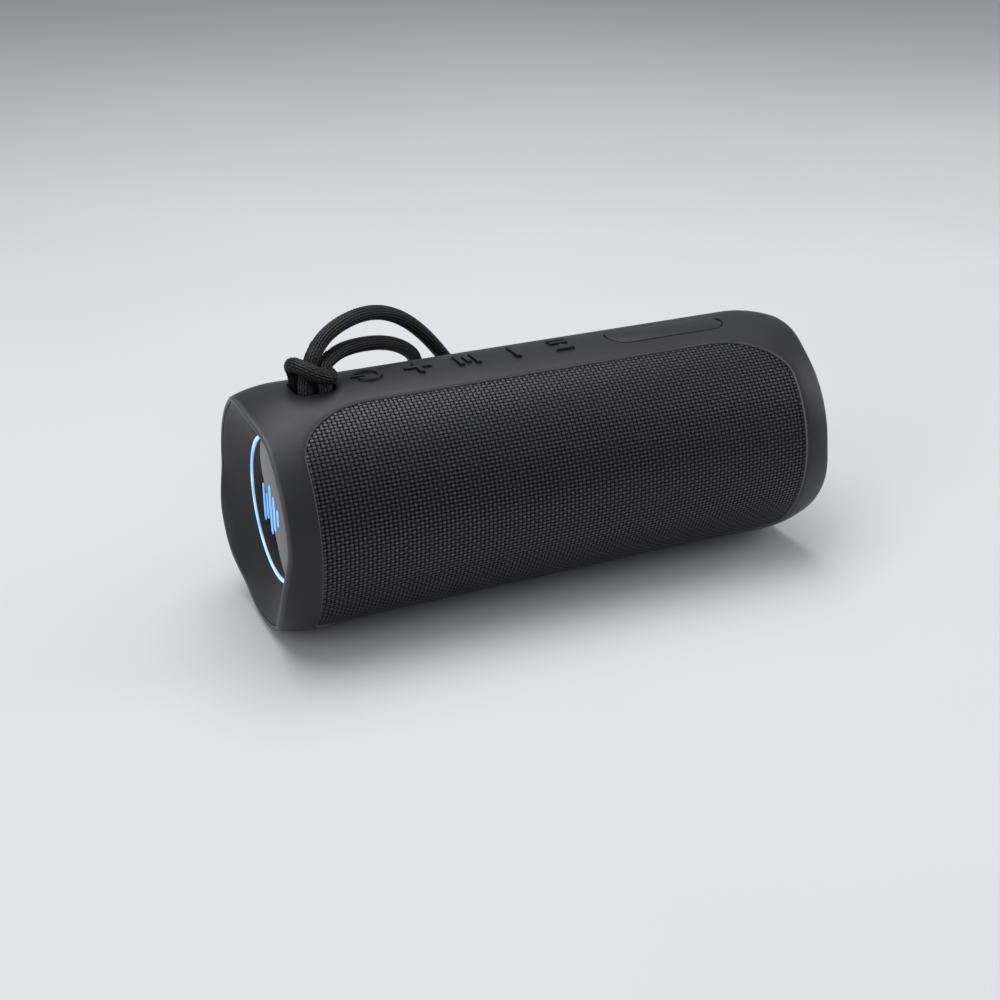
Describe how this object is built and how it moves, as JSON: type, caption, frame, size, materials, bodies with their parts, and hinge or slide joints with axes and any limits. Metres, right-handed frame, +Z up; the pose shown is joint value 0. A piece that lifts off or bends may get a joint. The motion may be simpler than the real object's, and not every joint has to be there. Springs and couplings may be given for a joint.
{
  "type": "portable shower speaker",
  "caption": "Cloth-sided barrel speaker with lobed lit ends, symbol keys, a port cover and a cord wrist loop.",
  "frame": {"origin": "on the surface it stands on, under the middle of the barrel, without the cord", "axes": "+X along the barrel towards the port cover, -Y the front, +Z up through the row of keys"},
  "size_m": [0.1972, 0.093, 0.0989],
  "materials": {
    "soft_shell": "matt soft-touch charcoal",
    "cloth": "coarse woven, near black",
    "grille_plastic": "satin moulded black",
    "cabinet_plastic": "satin moulded",
    "seal_rubber": "soft matt",
    "key_rubber": "matt, slightly darker than the shell",
    "gloss_black": "polished piano black",
    "light_guide": "lit light blue diffuser",
    "lit_icon": "lit blue",
    "circuit_board": "green solder mask",
    "chip_plastic": "moulded",
    "steel": "plain",
    "magnet_iron": "dark sintered ferrite",
    "copper_coil": "enamelled winding",
    "cone_paper": "pressed black pulp",
    "cell_wrap": "shrink wrap",
    "socket_metal": "pressed",
    "cord_braid": "round braid, black"
  },
  "bodies": {
    "housing": {"outer_shell": "soft_shell", "front_cloth": "cloth", "rear_cloth": "cloth", "front_grille": "grille_plastic", "rear_grille": "grille_plastic", "foot_pads": "seal_rubber", "cabinet_front": "cabinet_plastic", "cabinet_rear": "cabinet_plastic", "cabinet_gasket": "seal_rubber", "radiator_frames": "cabinet_plastic", "radiator_screws": "steel", "radiator_surrounds": "seal_rubber", "led_boards": "circuit_board", "driver_baskets": "steel", "driver_screws": "steel", "driver_top_plates": "steel", "driver_magnets": "magnet_iron", "driver_yokes": "steel", "driver_spiders": "cone_paper", "driver_surrounds": "seal_rubber", "button_switches": "chip_plastic", "button_board": "circuit_board", "main_board": "circuit_board", "board_chips": "chip_plastic", "board_spacers": "steel", "battery_cells": "cell_wrap", "battery_holder": "cabinet_plastic", "port_bay": "cabinet_plastic", "port_seal": "seal_rubber", "port_board": "circuit_board", "usb_c_socket": "socket_metal", "aux_jack": "chip_plastic", "card_slot": "socket_metal", "lanyard_cup": "cabinet_plastic", "lanyard_bar": "steel", "lanyard_hitch": "cord_braid", "lanyard_cord": "cord_braid", "left_end_cap": "soft_shell", "left_led_ring": "light_guide", "right_end_cap": "soft_shell", "right_led_ring": "light_guide"},
    "power_key": {"power_key": "key_rubber"},
    "plus_key": {"plus_key": "key_rubber"},
    "mode_key": {"mode_key": "key_rubber"},
    "minus_key": {"minus_key": "key_rubber"},
    "play_key": {"play_key": "key_rubber"},
    "port_cover": {"port_cover": "key_rubber"},
    "left_radiator": {"left_radiator_plate": "gloss_black", "left_end_disc": "gloss_black", "left_end_icon": "lit_icon"},
    "left_driver_cone": {"left_cone": "cone_paper", "left_voice_coil": "copper_coil", "left_dust_cap": "cone_paper"},
    "right_radiator": {"right_radiator_plate": "gloss_black", "right_end_disc": "gloss_black", "right_end_icon": "lit_icon"},
    "right_driver_cone": {"right_cone": "cone_paper", "right_voice_coil": "copper_coil", "right_dust_cap": "cone_paper"}
  },
  "joints": [
    {"name": "power_key_press", "type": "slide", "parent": "housing", "child": "power_key", "axis": [0, 0, -1], "range_m": [0, 0.00045], "stiffness_N_per_m": 900, "springref_m": -0.0004},
    {"name": "plus_key_press", "type": "slide", "parent": "housing", "child": "plus_key", "axis": [0, 0, -1], "range_m": [0, 0.00045], "stiffness_N_per_m": 900, "springref_m": -0.0004},
    {"name": "mode_key_press", "type": "slide", "parent": "housing", "child": "mode_key", "axis": [0, 0, -1], "range_m": [0, 0.00045], "stiffness_N_per_m": 900, "springref_m": -0.0004},
    {"name": "minus_key_press", "type": "slide", "parent": "housing", "child": "minus_key", "axis": [0, 0, -1], "range_m": [0, 0.00045], "stiffness_N_per_m": 900, "springref_m": -0.0004},
    {"name": "play_key_press", "type": "slide", "parent": "housing", "child": "play_key", "axis": [0, 0, -1], "range_m": [0, 0.00045], "stiffness_N_per_m": 900, "springref_m": -0.0004},
    {"name": "port_cover_hinge", "type": "hinge", "parent": "housing", "child": "port_cover", "pos_m": [0.0299, 0, 0.08035], "axis": [0, -1, 0], "range_deg": [0, 95]},
    {"name": "left_radiator_travel", "type": "slide", "parent": "housing", "child": "left_radiator", "axis": [-1, 0, 0], "range_m": [-0.0011, 0.0011], "stiffness_N_per_m": 1200},
    {"name": "right_radiator_travel", "type": "slide", "parent": "housing", "child": "right_radiator", "axis": [1, 0, 0], "range_m": [-0.0011, 0.0011], "stiffness_N_per_m": 1200},
    {"name": "left_cone_travel", "type": "slide", "parent": "housing", "child": "left_driver_cone", "axis": [0, -1, 0], "range_m": [-0.0012, 0.0012], "stiffness_N_per_m": 1500},
    {"name": "right_cone_travel", "type": "slide", "parent": "housing", "child": "right_driver_cone", "axis": [0, -1, 0], "range_m": [-0.0012, 0.0012], "stiffness_N_per_m": 1500}
  ]
}
